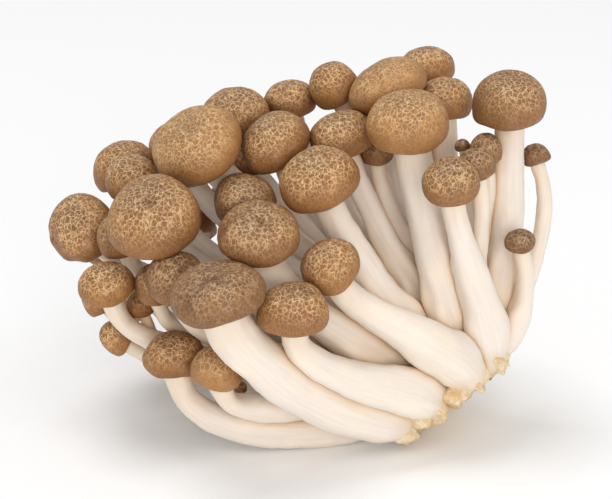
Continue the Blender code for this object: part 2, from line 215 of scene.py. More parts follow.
# Creases and dents pressed into some caps: (from, to, width, depth), in shares of the half width.
CREASES = {
    "front_3": [
        ((-0.52, 0.42), (-0.05, 0.5), 0.2, 0.03),
        ((0.02, 0.66), (0.14, 0.46), 0.11, 0.05),
        ((0.12, 0.46), (0.34, 0.3), 0.08, 0.04),
        ((-0.96, 0.1), (-0.92, 0.18), 0.2, 0.07),
        ((-0.7, -0.66), (-0.6, -0.74), 0.2, 0.06),
    ],
    "front_6": [
        ((-0.66, -0.2), (-0.3, 0.62), 0.17, 0.085),
        ((-0.05, 0.72), (0.22, 0.4), 0.13, 0.06),
        ((0.1, -0.95), (0.3, -0.8), 0.25, 0.05),
    ],
    "left_5": [
        ((-0.22, 0.4), (0.05, 0.44), 0.13, 0.045),
        ((0.02, 0.44), (0.05, 0.34), 0.09, 0.03),
    ],
    "left_1": [
        ((-0.85, -0.35), (-0.7, -0.62), 0.24, 0.1),
        ((-0.35, -0.88), (-0.15, -0.95), 0.24, 0.07),
    ],
    "left_2": [((-0.5, 0.1), (-0.4, -0.4), 0.3, 0.08)],
    "front_2": [((-0.1, -0.4), (0.5, -0.3), 0.3, 0.06)],
    "left_7": [((-0.05, 0.1), (0.1, 0.05), 0.2, 0.1)],
    "front_7": [((0.35, 0.3), (0.3, -0.3), 0.24, 0.08)],
    "right_1": [
        ((-0.95, -0.2), (-0.9, 0.1), 0.3, 0.05),
        ((-0.35, -0.9), (-0.2, -0.95), 0.25, 0.05),
    ],
    "crown_1": [((-0.3, 0.55), (0.05, 0.62), 0.16, 0.03)],
    "front_8": [((-0.2, -0.7), (0.3, -0.8), 0.3, 0.05)],
    "rear_2": [((0.1, 0.5), (0.3, 0.2), 0.22, 0.08)],
    "rear_7": [((-0.3, 0.4), (0.1, 0.5), 0.2, 0.07)],
}

# Bumps raised on some caps: (spot, width, rise), in the same terms.
LOBES = {
    "front_6": [
        ((0.22, 0.52), 0.34, 0.08),
        ((-0.55, 0.1), 0.36, 0.06),
        ((-0.3, -0.88), 0.24, 0.06),
        ((0.86, -0.2), 0.34, 0.06),
    ],
    "front_8": [((-0.95, -0.1), 0.34, 0.15)],
    "left_5": [((0.86, -0.15), 0.5, 0.05), ((-0.62, -0.62), 0.42, 0.04)],
    "left_6": [((-0.8, -0.1), 0.4, 0.05), ((0.8, 0.1), 0.4, 0.05)],
    "front_5": [((-0.85, -0.35), 0.35, 0.06), ((0.55, 0.45), 0.45, 0.05)],
    "front_4": [((0.75, 0.35), 0.4, 0.06)],
    "front_3": [
        ((-0.58, 0.42), 0.34, 0.06),
        ((0.62, 0.34), 0.36, 0.08),
        ((-0.8, -0.28), 0.26, 0.06),
        ((0.25, -0.88), 0.28, 0.05),
    ],
    "right_1": [((-0.88, -0.5), 0.34, 0.12)],
    "left_1": [
        ((-0.95, 0.05), 0.3, 0.05),
        ((-0.86, -0.42), 0.2, 0.1),
        ((-0.45, -0.85), 0.2, 0.08),
    ],
    "right_2": [((0.95, -0.1), 0.45, 0.14)],
    "front_2": [((0.45, 0.35), 0.5, 0.05)],
}

# How much darker and greyer than the rest some caps are, or, below 0, how much paler: partly each
# cap's own tone, partly painted shade on caps in shadow and painted light on caps in full light.
TONE_AND_SHADING = {
    "right_1": 0.4, "left_5": 0.22, "left_1": 0.12, "crown_1": -0.2, "crown_8": -0.25,
    "crown_10": -0.15, "right_2": 0.85, "right_3": 0.95, "right_5": 0.75, "right_6": 0.55,
    "right_7": 0.8, "right_4": 0.35, "left_2": 0.3, "front_7": 0.55, "front_6": 0.75,
    "front_3": 0.4, "front_2": 0.45, "left_9": 0.25, "front_8": 0.1, "front_9": -0.25,
    "inner_1": 0.5, "inner_2": 0.5,
}


# ---- one mushroom's form


def dense_profile():
    """Half of a cap's outline, in shares of radius and height: top, rolled margin and inside."""
    power = 2 / 2.2
    top = np.linspace(0, math.pi / 2, 200)
    over = np.stack([np.sin(top) ** power, RIM_LEVEL + OVER_RIM * np.cos(top) ** power], axis=1)
    under = np.linspace(0, math.pi / 2, 60)[1:]
    margin = np.stack([0.86 + 0.14 * np.cos(under), RIM_LEVEL - 0.27 * np.sin(under)], axis=1)
    roll = np.linspace(0, math.pi, 40)[1:]
    rise = 0.035 * (1 - np.cos(roll)) - 0.02 * np.sin(roll)
    lip = np.stack([0.81 + 0.05 * np.cos(roll), rise - 0.01], axis=1)
    inside = np.array([(0.745, 0.13), (0.72, 0.22), (0.6, 0.31), (0.35, 0.36), (0.0, 0.37)])
    return over, np.vstack([margin, lip]), inside


OVER, MARGIN, INSIDE = dense_profile()


def evenly(path, count):
    """This many points at equal steps along a path."""
    steps = np.linalg.norm(np.diff(path, axis=0), axis=1)
    along = np.concatenate([[0], np.cumsum(steps)])
    at = np.linspace(0, along[-1], count)
    return np.stack([np.interp(at, along, path[:, k]) for k in range(path.shape[1])], axis=1)


STEM_START = -2.4  # the stem begins this far below its foot, in the torn tissue
# Times round and size of the stem's unevenness, and of the rim's outward and downward waves.
STEM_WAVES = ((2, 0.03), (3, 0.022), (4, 0.016), (5, 0.01), (7, 0.006))
RIM_WAVES = ((3, 0.009), (4, 0.006), (5, 0.004), (7, 0.002))
RIM_DIPS = ((2, 0.024), (3, 0.014), (5, 0.008))
GILL_PITCH = 0.82  # from one gill to the next along the rim


class Mushroom:
    """One mushroom's form, as read from its CAD solid."""

    def __init__(self, name, number, root):
        self.name = name
        self.place = name.removeprefix("mushroom_")
        self.number = number
        self.rng = np.random.default_rng(1000 + number)
        rings = rings_of(name, root)
        middles = np.array([ring.mean(axis=0) for ring in rings])
        upper = middles[NECK_RING:]
        axis = np.linalg.svd(upper - upper.mean(axis=0))[2][0]
        self.axis = axis * np.sign(axis @ (upper[-1] - upper[0]))
        top = middles[TOP_RING]
        self.height = float((top - middles[RIM_RING]) @ self.axis) / OVER_RIM
        self.rim = top - self.axis * self.height
        line = middles[: NECK_RING + 1]
        steps = np.linalg.norm(np.diff(line, axis=0), axis=1)
        self.along = np.concatenate([[0], np.cumsum(steps)])
        self.length = self.along[-1]
        fine = np.linspace(0, self.length, 200)
        path = hermite(line, self.along, fine)
        tangents = unit(np.gradient(path, axis=0))
        bend = smoothstep(0.86, 1.0, fine / self.length)[:, None]
        tangents = unit(tangents * (1 - bend) + self.axis * bend)
        self.fine, self.path, self.tangents = fine, path, tangents
        self.firsts = carried(side_of(tangents[0]), tangents)
        shapes = []
        for k in range(1, NECK_RING + 1):
            first, second = self.frame_at(self.along[k : k + 1])[2:]
            shapes.append(ring_shape(rings[k], middles[k], first[0], second[0]))
        self.shapes = np.array(shapes)
        self.first = unit(self.firsts[-1] - self.axis * (self.firsts[-1] @ self.axis))
        self.second = np.cross(self.axis, self.first)
        self.outline = ring_shape(rings[RIM_RING], middles[RIM_RING], self.first, self.second)
        self.radius = float(self.outline[0])

    def read(self, table, at):
        return np.stack([np.interp(at, self.fine, table[:, k]) for k in range(3)], axis=1)

    def on_axis(self, share):
        """The point on the cap's axis at this share of its height above the rim."""
        return self.rim + self.axis * share * self.height

    def round_at(self, turns):
        """How far out the cap's outline is at these turns, where 1 is its mean radius."""
        return (waves(turns) @ self.outline) / self.radius

    def frame_at(self, at):
        """The middle, the way along and two ways across at these places on the stem."""
        inside = np.clip(at, 0, self.length)
        tangent = unit(self.read(self.tangents, inside))
        first = self.read(self.firsts, inside)
        first = unit(first - tangent * (first * tangent).sum(axis=1, keepdims=True))
        second = np.cross(tangent, first)
        middle = self.read(self.path, inside) + tangent * (at - inside)[:, None]
        return middle, tangent, first, second

    def stem(self, sides, rows):
        """The stem's points in rows, each row's place along it, the ways out, and the turns."""
        low, high = STEM_START, self.length + 0.16 * self.height
        at = low + (high - low) * np.linspace(0, 1, rows)
        turns = turns_of(sides)
        middle, _, first, second = self.frame_at(at)
        shape = hermite(self.shapes, self.along[1:], at)
        reach = shape @ waves(turns).T
        phase = self.rng.uniform(0, TAU, 12)
        for k, (folds, uneven) in enumerate(STEM_WAVES):
            drift = phase[k + 5] * 0.4 + at[:, None] * (0.045 + 0.012 * k)
            swing = 0.6 + 0.4 * np.cos(at[:, None] * 0.16 + phase[k])
            reach = reach * (1 + uneven * swing * np.cos(folds * turns[None] + drift))
        wavelength = self.rng.uniform(16, 24)
        reach = reach * (1 + 0.035 * np.cos(at * TAU / wavelength + phase[11]))[:, None]
        foot = 0.74 + 0.26 * smoothstep(-2.0, 7.0, at)
        close = np.clip((at - low) / 3.4, 0, 1)
        rounded = np.sqrt(np.clip(1 - (1 - close) ** 2, 0.02, 1))
        into_cap = 1 + 0.1 * smoothstep(self.length - 0.25 * self.height, high, at)
        reach = reach * (foot * rounded * into_cap)[:, None]
        ways = spokes(first[:, None], second[:, None], turns)
        return middle[:, None] + ways * reach[..., None], at, ways, turns

    def cap(self, sides, top_rows, edge_rows):
        """The cap's points in rows from the top down and in, their places on the skin, how near to
        the rim each row is, and how many rows show."""
        over = evenly(OVER, top_rows + 1)[1:]
        margin = evenly(MARGIN, edge_rows + 1)[1:]
        profile = np.vstack([over, margin, INSIDE[:-1]])
        shown = len(over) + len(margin)
        size = np.array([self.radius, self.height])
        scaled = profile * size
        steps = np.linalg.norm(np.diff(np.vstack([[0, self.height], scaled]), axis=0), axis=1)
        arc = np.cumsum(steps)
        full = arc[top_rows - 1]
        turns = turns_of(sides)
        phase = self.rng.uniform(0, TAU, 8)
        lobes = sum(out * np.cos(k * turns + phase[i]) for i, (k, out) in enumerate(RIM_WAVES))
        edge = smoothstep(0.35, 1.0, profile[:, 0])[:, None]
        share = self.round_at(turns)[None] * (1 + edge * lobes[None])
        dip = sum(down * np.cos(k * turns + phase[i + 4]) for i, (k, down) in enumerate(RIM_DIPS))
        low = (1 - smoothstep(0.1, 0.9, profile[:, 1]))[:, None] * dip[None]
        ways = spokes(self.first, self.second, turns)
        points = (
            self.rim
            + ways * (profile[:, 0, None] * share)[..., None] * self.radius
            + self.axis * ((profile[:, 1, None] + low)[..., None] * self.height)
        )
        own_place = 17.3 * self.number % 97  # so that no two caps share a pattern
        skin = on_grid(arc[:, None] * np.cos(turns), arc[:, None] * np.sin(turns), own_place)
        return points, skin, arc / full, shown

    def pressed(self, points, shown):
        """The points moved by uneven growth, creases and lobes, and how creased each is, to 1,
        which is painted as shade in the creases.
        """
        ways = points - self.on_axis(0.32)
        flatter = 1 - self.radius / self.height
        ways = unit(ways - self.axis * (ways @ self.axis)[..., None] * flatter)
        broad = Ripples(self.rng, 1.5)(ways)
        lumps = Ripples(self.rng, 0.62)(ways)
        fine = Ripples(self.rng, 2.1)(points)
        move = self.radius * (0.014 * broad + 0.0045 * lumps) + 0.02 * fine
        mark = np.zeros(points.shape[:2])
        for start, end, width, depth in CREASES.get(self.place, ()):
            a, b = facing(*start), facing(*end)
            span = b - a
            t = np.clip((ways - a) @ span / max(span @ span, 1e-6), 0, 1)
            off = np.linalg.norm(ways - (a + t[..., None] * span), axis=-1)
            move = move - self.radius * depth * bell(off, width)
            mark = np.maximum(mark, bell(off, 1.2 * width) * min(1.0, depth / 0.055))
            move = move + self.radius * depth * 0.16 * bell(off - 1.7 * width, 0.8 * width)
        for spot, width, rise in LOBES.get(self.place, ()):
            off = np.linalg.norm(ways - facing(*spot), axis=-1)
            move = move + self.radius * rise * bell(off, width)
        fading = 6
        weight = np.zeros(len(points))
        weight[:shown] = 1
        weight[shown - fading : shown] = np.linspace(1, 0, fading)
        return points + ways * (move * weight[:, None])[..., None], mark

    def gills(self):
        """The gilled underside, as rows from the stem out along the gills and back above them."""
        count = int(np.clip(round(TAU * self.radius / GILL_PITCH), 22, 72))
        each = 8
        sides = count * each
        turns = turns_of(sides)
        neck, outer = self.shapes[-1, 0] / self.radius * 0.93, 0.835
        shares = np.linspace(neck, outer, 13)
        out = (shares - neck) / (outer - neck)
        edge = 0.135 - 0.1 * out - 0.03 * np.sin(out * math.pi)
        depth = 0.15 * smoothstep(0.0, 0.16, out) * (1 - smoothstep(0.8, 1.0, out)) + 0.004
        groove = 1 - (0.5 + 0.5 * np.cos(count * turns)) ** 0.8
        short = 0.5 + 0.5 * np.cos(count * turns / 2 + math.pi) > 0.5
        begins = self.rng.uniform(0.25, 0.6, count)[(np.arange(sides) // each) % count]
        reach = smoothstep(0, 0.12, out[:, None] - begins * short)
        lift = depth[:, None] * np.clip(groove + (1 - reach) * short * 0.9, 0, 1)
        wobble = 0.006 * np.cos(5 * turns + self.number)
        wide = self.round_at(turns) * self.radius
        ways = spokes(self.first, self.second, turns)

        def row(share, level):
            out_to = ways * (share * wide)[:, None]
            return self.rim + out_to + self.axis * (level * self.height)[:, None]

        ones = np.ones(sides)
        rows = [row(shares[k], edge[k] + lift[k] + wobble) for k in range(len(shares))]
        for share, level in ((0.8, 0.16), (0.5 * (0.8 + neck), 0.33), (neck, 0.35)):
            rows.append(row(share, level * ones))
        return np.array(rows)


# ---- making meshes


def lathe_faces(rows, sides, ring=False):
    """Faces of rows that go round. Each end gets a point, or a ring's last row joins its first."""
    i = np.arange(sides)
    j = (i + 1) % sides
    k = np.arange(rows - 1)[:, None] * sides
    quads = np.stack([k + i, k + j, k + sides + j, k + sides + i], axis=-1).reshape(-1, 4)
    last, start, end = (rows - 1) * sides, rows * sides, rows * sides + 1
    if ring:
        joining = np.stack([last + i, last + j, j, i], axis=-1)
        return np.vstack([quads, joining]), np.empty((0, 3), int)
    first = np.stack([np.full(sides, start), j, i], axis=-1)
    final = np.stack([np.full(sides, end), last + i, last + j], axis=-1)
    return quads, np.vstack([first, final])


def end_points(grid):
    """The middles of a grid's first and last row."""
    return np.stack([grid[0].mean(axis=0), grid[-1].mean(axis=0)])


def with_ends(grid):
    """A grid's values in one list, and those of its two end points after them."""
    return np.vstack([grid.reshape(-1, grid.shape[-1]), end_points(grid)])


def mesh_object(name, points, quads, tris, material, attributes=None):
    """A smooth mesh object from points in mm, facing out, with attributes on its points."""
    mesh = bpy.data.meshes.new(name)
    count = len(quads) + len(tris)
    loops = np.concatenate([quads.reshape(-1), tris.reshape(-1)])
    sizes = np.repeat([4, 3], [len(quads), len(tris)])
    starts = np.concatenate([[0], np.cumsum(sizes)[:-1]])
    a, b, c, d = (points[quads[:, k]] for k in range(4))
    e, f, g = (points[tris[:, k]] for k in range(3))
    volume = sum((np.cross(p, q) * r).sum() for p, q, r in ((a, b, c), (a, c, d), (e, f, g)))
    mesh.vertices.add(len(points))
    mesh.loops.add(len(loops))
    mesh.polygons.add(count)
    mesh.vertices.foreach_set("co", (points * MM).reshape(-1))
    mesh.loops.foreach_set("vertex_index", loops)
    mesh.polygons.foreach_set("loop_start", starts)
    mesh.polygons.foreach_set("loop_total", sizes)
    mesh.polygons.foreach_set("use_smooth", np.ones(count, bool))
    mesh.update(calc_edges=True)
    mesh.validate()
    if volume < 0:
        mesh.flip_normals()
    for key, values in (attributes or {}).items():
        kind, field = ("FLOAT_VECTOR", "vector") if values.shape[-1] == 3 else ("FLOAT", "value")
        mesh.attributes.new(key, kind, "POINT").data.foreach_set(field, values.reshape(-1))
    mesh.materials.append(material)
    made = bpy.data.objects.new(name, mesh)
    bpy.context.scene.collection.objects.link(made)
    return made


def closed_piece(name, grid, ends, material, attributes):
    """A mesh object from rows of points that go round, closed by a point at each end."""
    quads, tris = lathe_faces(*grid.shape[:2])
    points = np.vstack([grid.reshape(-1, 3), ends])
    attributes = {key: with_ends(values) for key, values in attributes.items()}
    return mesh_object(name, points, quads, tris, material, attributes)


def blurred(values, rounds):
    """A grid that goes round, smoothed a little each round."""
    for _ in range(rounds):
        around = (np.roll(values, 1, axis=1) + np.roll(values, -1, axis=1)) / 2
        padded = np.vstack([values[:1], values, values[-1:]])
        along = (padded[:-2] + padded[2:]) / 2
        values = 0.5 * values + 0.25 * around + 0.25 * along
    return values


def sampled(coarse, rows, sides):
    """A coarse grid that goes round, read at a finer grid of the same extent."""
    low_rows, low_sides = coarse.shape
    at = np.linspace(0, low_rows - 1, rows)
    k = np.clip(at.astype(int), 0, low_rows - 2)
    t = (at - k)[:, None]
    down = coarse[k] * (1 - t) + coarse[k + 1] * t
    turn = np.arange(sides) * low_sides / sides
    i = turn.astype(int)
    s = (turn - i)[None]
    return down[:, i % low_sides] * (1 - s) + down[:, (i + 1) % low_sides] * s


# ---- materials


def colour(red, green, blue):
    """An sRGB colour, 0 to 255 and not near black, as linear numbers."""
    return (*(((value / 255 + 0.055) / 1.055) ** 2.4 for value in (red, green, blue)), 1.0)


class Paint:
    """Builds one material's nodes."""

    def __init__(self, name, roughness, specular=0.5):
        self.material = bpy.data.materials.new(name)
        self.material.use_nodes = True
        self.tree = self.material.node_tree
        self.shader = self.tree.nodes["Principled BSDF"]
        self.feed(self.shader, {"Roughness": roughness, "Specular IOR Level": specular})

    def put(self, socket, value):
        if isinstance(value, bpy.types.NodeSocket):
            self.tree.links.new(value, socket)
        else:
            socket.default_value = value

    def feed(self, node, inputs):
        """Gives a node its inputs. One that is None stays as it is."""
        for key, value in inputs.items():
            if value is not None:
                self.put(node.inputs[key], value)

    def node(self, kind, inputs=None, **settings):
        made = self.tree.nodes.new(kind)
        for key, value in settings.items():
            setattr(made, key, value)
        self.feed(made, inputs or {})
        return made

    def attribute(self, name, vector=True):
        made = self.node("ShaderNodeAttribute", attribute_name=name)
        return made.outputs["Vector" if vector else "Fac"]

    def math(self, kind, a, b=0.0):
        return self.node("ShaderNodeMath", {0: a, 1: b}, operation=kind).outputs[0]

    def times(self, a, b):
        return self.math("MULTIPLY", a, b)

    def plus(self, a, b):
        return self.math("ADD", a, b)

    def vector(self, kind, a, b=None, scale=None):
        inputs = {0: a, 1: b, "Scale": scale}
        return self.node("ShaderNodeVectorMath", inputs, operation=kind).outputs[0]

    def split(self, vector):
        return self.node("ShaderNodeSeparateXYZ", {0: vector}).outputs

    def step(self, value, low, high, start=0.0, end=1.0):
        made = self.node("ShaderNodeMapRange", interpolation_type="SMOOTHSTEP", clamp=True)
        self.feed(made, dict(enumerate((value, low, high, start, end))))
        return made.outputs[0]

    def noise(self, vector, scale, detail=2.0, rough=0.5, colour_out=False):
        inputs = {"Vector": vector, "Scale": scale, "Detail": detail, "Roughness": rough}
        made = self.node("ShaderNodeTexNoise", inputs)
        return made.outputs["Color" if colour_out else "Fac"]

    def cells(self, vector, scale, feature):
        inputs = {"Vector": vector, "Scale": scale}
        return self.node("ShaderNodeTexVoronoi", inputs, feature=feature).outputs

    def mix(self, share, a, b, blend="MIX"):
        made = self.node("ShaderNodeMix", data_type="RGBA", blend_type=blend)
        self.put(made.inputs["Factor"], share)
        for socket in made.inputs:
            if socket.type == "RGBA":
                self.put(socket, {"A": a, "B": b}[socket.name])
        return [socket for socket in made.outputs if socket.type == "RGBA"][0]

    def over(self, base, *layers):
        """Colours laid over a first one in turn, each given as (share, colour)."""
        for share, shade in layers:
            base = self.mix(share, base, shade)
        return base

    def waver(self, value, field, amount):
        """A value moved up and down by a noise."""
        return self.plus(value, self.times(self.math("SUBTRACT", field, 0.5), amount))

    def place_in_mm(self):
        place = self.node("ShaderNodeTexCoord").outputs["Object"]
        return self.vector("SCALE", place, scale=1 / MM)

    def bump(self, height, distance, strength):
        inputs = {"Height": height, "Distance": distance, "Strength": strength}
        return self.node("ShaderNodeBump", inputs).outputs[0]

    def finish(self, base, normal=None, roughness=None):
        self.feed(self.shader, {"Base Color": base, "Normal": normal, "Roughness": roughness})
        return self.material

    def glow_inside(self, weight, scale, radius):
        values = {"Weight": weight, "Scale": scale, "Radius": radius}
        self.feed(self.shader, {f"Subsurface {key}": value for key, value in values.items()})


WHOLE, NONE = 1.0, 0.0


def cap_material():
    """Brown skin under a pale net of cracks, darkest at the crown and paler towards the rim, with
    a darker band at the rim that is partly its own tone and partly painted shade, painted shade
    where caps lie against neighbours, in creases and where shut in, and some caps painted darker,
    as painted shade, and others paler, as painted light, besides each cap's own tone.
    """
    paint = Paint("cap_skin_marbled", 0.5, 0.34)
    skin = paint.attribute("skin")
    edge, tone_and_shading, crevice_shade = paint.split(paint.attribute("mood"))
    half = (0.5, 0.5, 0.5)
    drift = paint.vector("SUBTRACT", paint.noise(skin, 1.1, 2.0, colour_out=True), half)
    place = paint.vector("ADD", skin, paint.vector("SCALE", drift, scale=1.25))
    broken = paint.noise(skin, 0.45, 3.0, 0.6)
    mottle = paint.noise(skin, 1.9, 3.0, 0.6)
    grain = paint.noise(skin, 6.0, 2.0, 0.5)
    cloud = paint.noise(skin, 0.15, 2.0, 0.5)
    patches = paint.noise(skin, 0.33, 2.0, 0.55)

    # The net: the edges of large cells and, fainter, of small ones, broken up, faint at the rim.
    cell_size, small_cell_size = 0.8, 1.7
    edges = paint.cells(place, cell_size, "DISTANCE_TO_EDGE")["Distance"]
    small_edges = paint.cells(place, small_cell_size, "DISTANCE_TO_EDGE")["Distance"]
    middle = paint.cells(place, cell_size, "F1")
    net = paint.step(edges, 0.012, 0.13, WHOLE, NONE)
    small_net = paint.step(small_edges, 0.0, 0.17, WHOLE, NONE)
    net = paint.math("MAXIMUM", net, paint.times(small_net, 0.4))
    net = paint.times(net, paint.step(broken, 0.3, 0.55, 0.45, WHOLE))
    faded = paint.step(edge, 0.5, 1.0, WHOLE, 0.42)
    net = paint.times(net, faded)
    # The pool: the brown middle of each large cell, of its own strength.
    own = paint.split(middle["Color"])[0]
    pool = paint.step(middle["Distance"], 0.2, 0.72, WHOLE, NONE)
    pool = paint.times(paint.times(pool, paint.step(own, 0.1, 0.8, 0.25, WHOLE)), faded)
    crown = paint.step(paint.waver(edge, cloud, 1.1), 0.12, 0.6, WHOLE, NONE)
    # a darker band towards the rim: partly the cap's own tone, partly painted shade on its
    # downward-facing lower side
    skirt_tone_and_shade = paint.step(paint.waver(edge, patches, 0.35), 0.62, 1.06)

    base = paint.over(
        colour(176, 120, 61),
        (paint.step(cloud, 0.38, 0.62), colour(150, 95, 44)),
        (paint.step(patches, 0.5, 0.68, NONE, 0.5), colour(128, 82, 45)),
        (paint.times(pool, 0.6), colour(114, 66, 28)),
        (paint.times(crown, 0.66), colour(98, 60, 36)),
        (paint.step(mottle, 0.46, 0.74, NONE, 0.26), colour(86, 52, 29)),
        (paint.times(net, 0.84), colour(240, 204, 152)),
        (paint.times(skirt_tone_and_shade, 0.58), colour(152, 103, 57)),
        (paint.step(grain, 0.35, 0.75, NONE, 0.18), colour(74, 46, 28)),
    )
    # some caps are made darker and greyer, partly their own tone and partly painted shade; others
    # paler, partly painted light
    grey = paint.mix(0.66, base, colour(92, 63, 46))
    grey = paint.mix(paint.times(net, 0.52), grey, colour(204, 172, 136))
    paler = paint.times(tone_and_shading, -1.0)
    base = paint.over(
        base,
        (paint.math("MAXIMUM", tone_and_shading, NONE), grey),
        (paint.math("MAXIMUM", paler, NONE), colour(200, 154, 100)),
        # painted shade: darker brown where the cap lies against its neighbours and in its creases
        (paint.times(crevice_shade, 0.55), colour(92, 52, 26)),
    )
    # painted shade: darker and browner where the cap is shut in by other surfaces
    enclosed_shade = paint.step(paint.attribute("enclosed_shade", vector=False), 0.22, 0.8, NONE, 0.85)
    base = paint.mix(enclosed_shade, base, (0.58, 0.42, 0.28, 1.0), "MULTIPLY")

    height = paint.plus(paint.times(net, 0.6), paint.times(mottle, 0.8))
    height = paint.plus(height, paint.times(grain, 0.3))
    paint.glow_inside(0.1, 0.0012, (1.0, 0.45, 0.22))
    rough = paint.step(mottle, 0.3, 0.8, 0.42, 0.6)
    return paint.finish(base, paint.bump(height, 0.00018, 0.6), rough)


def stem_material():
    """Ivory flesh with fine streaks along it, creamier at its foot, with painted shade: tan near
    its top under the cap, tan where stems lie against each other and darker where they are shut
    in.
    """
    paint = Paint("stem_flesh_fibrous", 0.5, 0.35)
    grain = paint.attribute("grain")
    along, cream, crevice_shade = paint.split(paint.attribute("mood"))
    streak = paint.noise(paint.vector("MULTIPLY", grain, (1.0, 1.0, 0.055)), 1.2, 3.0, 0.55)
    fine = paint.noise(paint.vector("MULTIPLY", grain, (1.0, 1.0, 0.09)), 4.5, 2.0, 0.6)
    cloud = paint.noise(grain, 0.13, 2.0, 0.5)
    speck = paint.noise(grain, 1.1, 3.0, 0.7)
    base = paint.over(
        colour(235, 226, 217),
        (paint.step(streak, 0.36, 0.72, NONE, 0.55), colour(226, 211, 194)),
        (paint.step(fine, 0.45, 0.75, NONE, 0.2), colour(232, 214, 190)),
        (paint.step(cloud, 0.42, 0.75, NONE, 0.5), colour(243, 230, 210)),
        (paint.step(speck, 0.66, 0.8, NONE, 0.25), colour(222, 196, 160)),
        (paint.times(cream, 0.75), colour(229, 203, 166)),
        # painted shade: tan towards the top of the stem, under the cap
        (paint.step(along, 0.7, 1.0, NONE, 0.45), colour(232, 208, 176)),
        # painted shade: tan where stems lie against each other
        (paint.times(crevice_shade, 0.62), colour(214, 176, 130)),
    )
    # painted shade: darker and warmer where the stem is shut in by other surfaces
    enclosed_shade = paint.step(paint.attribute("enclosed_shade", vector=False), 0.22, 0.85, NONE, 0.62)
    base = paint.mix(enclosed_shade, base, (1.0, 0.86, 0.7, 1.0), "MULTIPLY")
    height = paint.plus(streak, paint.times(fine, 0.35))
    paint.glow_inside(0.42, 0.003, (1.0, 0.72, 0.56))
    rough = paint.step(streak, 0.3, 0.7, 0.42, 0.58)
    return paint.finish(base, paint.bump(height, 0.00022, 0.26), rough)


def gill_material():
    paint = Paint("gills_cream", 0.6, 0.3)
    place = paint.place_in_mm()
    streak = paint.noise(place, 0.7, 3.0, 0.6)
    fine = paint.noise(place, 3.0, 2.0, 0.6)
    base = paint.over(
        colour(243, 231, 212),
        (paint.step(streak, 0.35, 0.7), colour(226, 205, 176)),
        (paint.step(fine, 0.5, 0.8, NONE, 0.3), colour(205, 178, 142)),
    )
    paint.glow_inside(0.2, 0.0015, (1.0, 0.6, 0.35))
    return paint.finish(base, paint.bump(fine, 0.0001, 0.3), paint.step(fine, 0.3, 0.8, 0.52, 0.7))


def base_material():
    """Dry torn tissue, pale and straw coloured, browner at its ragged ends."""
    paint = Paint("cut_base_torn", 0.75, 0.25)
    place, grain = paint.place_in_mm(), paint.attribute("grain")
    lumps = paint.noise(place, 0.32, 4.0, 0.6)
    fine = paint.noise(place, 1.8, 4.0, 0.65)
    drawn = paint.noise(paint.vector("MULTIPLY", grain, (1.0, 1.0, 0.2)), 1.6, 3.0, 0.6)
    torn = paint.step(paint.split(grain)[2], 3.5, 7.0, NONE, 0.6)
    base = paint.over(
        colour(240, 222, 190),
        (paint.step(lumps, 0.4, 0.66), colour(218, 184, 136)),
        (paint.step(drawn, 0.42, 0.74, NONE, 0.5), colour(200, 160, 106)),
        (paint.step(fine, 0.6, 0.8, NONE, 0.45), colour(158, 118, 76)),
        (paint.step(fine, 0.3, 0.42, 0.4, NONE), colour(244, 230, 202)),
        (paint.times(torn, paint.step(lumps, 0.3, 0.6)), colour(190, 146, 94)),
    )
    height = paint.plus(lumps, paint.plus(fine, paint.times(drawn, 0.7)))
    paint.glow_inside(0.12, 0.0015, (1.0, 0.6, 0.35))
    rough = paint.step(fine, 0.3, 0.8, 0.65, 0.9)
    return paint.finish(base, paint.bump(height, 0.0004, 0.5), rough)


def floor_material():
    paint = Paint("white_table", 0.9, 0.0)
    glow = {"Emission Color": (1.0, 1.0, 1.0, 1.0), "Emission Strength": 0.05}
    paint.feed(paint.shader, glow)
    return paint.finish(colour(250, 250, 250))


# ---- building the bunch


def cut_face(points, faces):
    """The middle of the base's flat cut face, and the way the bunch grows from it."""
    a, b, c = points[faces[:, 0]], points[faces[:, 1]], points[faces[:, 2]]
    normals = np.cross(b - a, c - a)
    areas = np.linalg.norm(normals, axis=1)
    normals = normals / areas[:, None]
    together = (normals @ normals.T > 0.999) @ areas
    way = normals[together.argmax()]
    flat = normals @ way > 0.999
    corners = np.unique(faces[flat])
    return points[corners].mean(axis=0), -way


base_points, base_faces = welded("cut_base")
base_middle, growth = cut_face(base_points, base_faces)
base_body = base_middle + growth * BODY_MIDDLE

names = sorted(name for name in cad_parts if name.startswith("mushroom_"))
mushrooms = [Mushroom(name, number, base_body) for number, name in enumerate(names)]

MATERIAL_CAP = cap_material()
MATERIAL_STEM = stem_material()
MATERIAL_GILLS = gill_material()
MATERIAL_BASE = base_material()

# How finely the rough forms are made that tell each mushroom what lies beside it.
COARSE_SIDES, COARSE_ROWS, CAP_ROWS, EDGE_ROWS = 28, 44, 13, 6
FAR = 8.5  # a neighbour further off than this doesn't count
SHADE_REACH, SHADE_WAYS = 24.0, 10  # how far, and in how many directions, shade is looked for
GOLDEN_TURN = 0.618034
CAP_MIDDLE = 0.3  # the point that a cap grows out from, as a share of its height
NECK_SHARE = 0.93  # a stem doesn't swell beyond this share of its length


def coarse_forms():
    """Each mushroom with its stem and shown cap as rough grids, using up no random draws."""
    forms = []
    for m in mushrooms:
        state = m.rng.bit_generator.state
        stem = m.stem(COARSE_SIDES, COARSE_ROWS)[:3]
        cap, _, _, shown = m.cap(COARSE_SIDES, CAP_ROWS, EDGE_ROWS)
        m.rng.bit_generator.state = state
        forms.append((m, stem, cap[:shown]))
    return forms


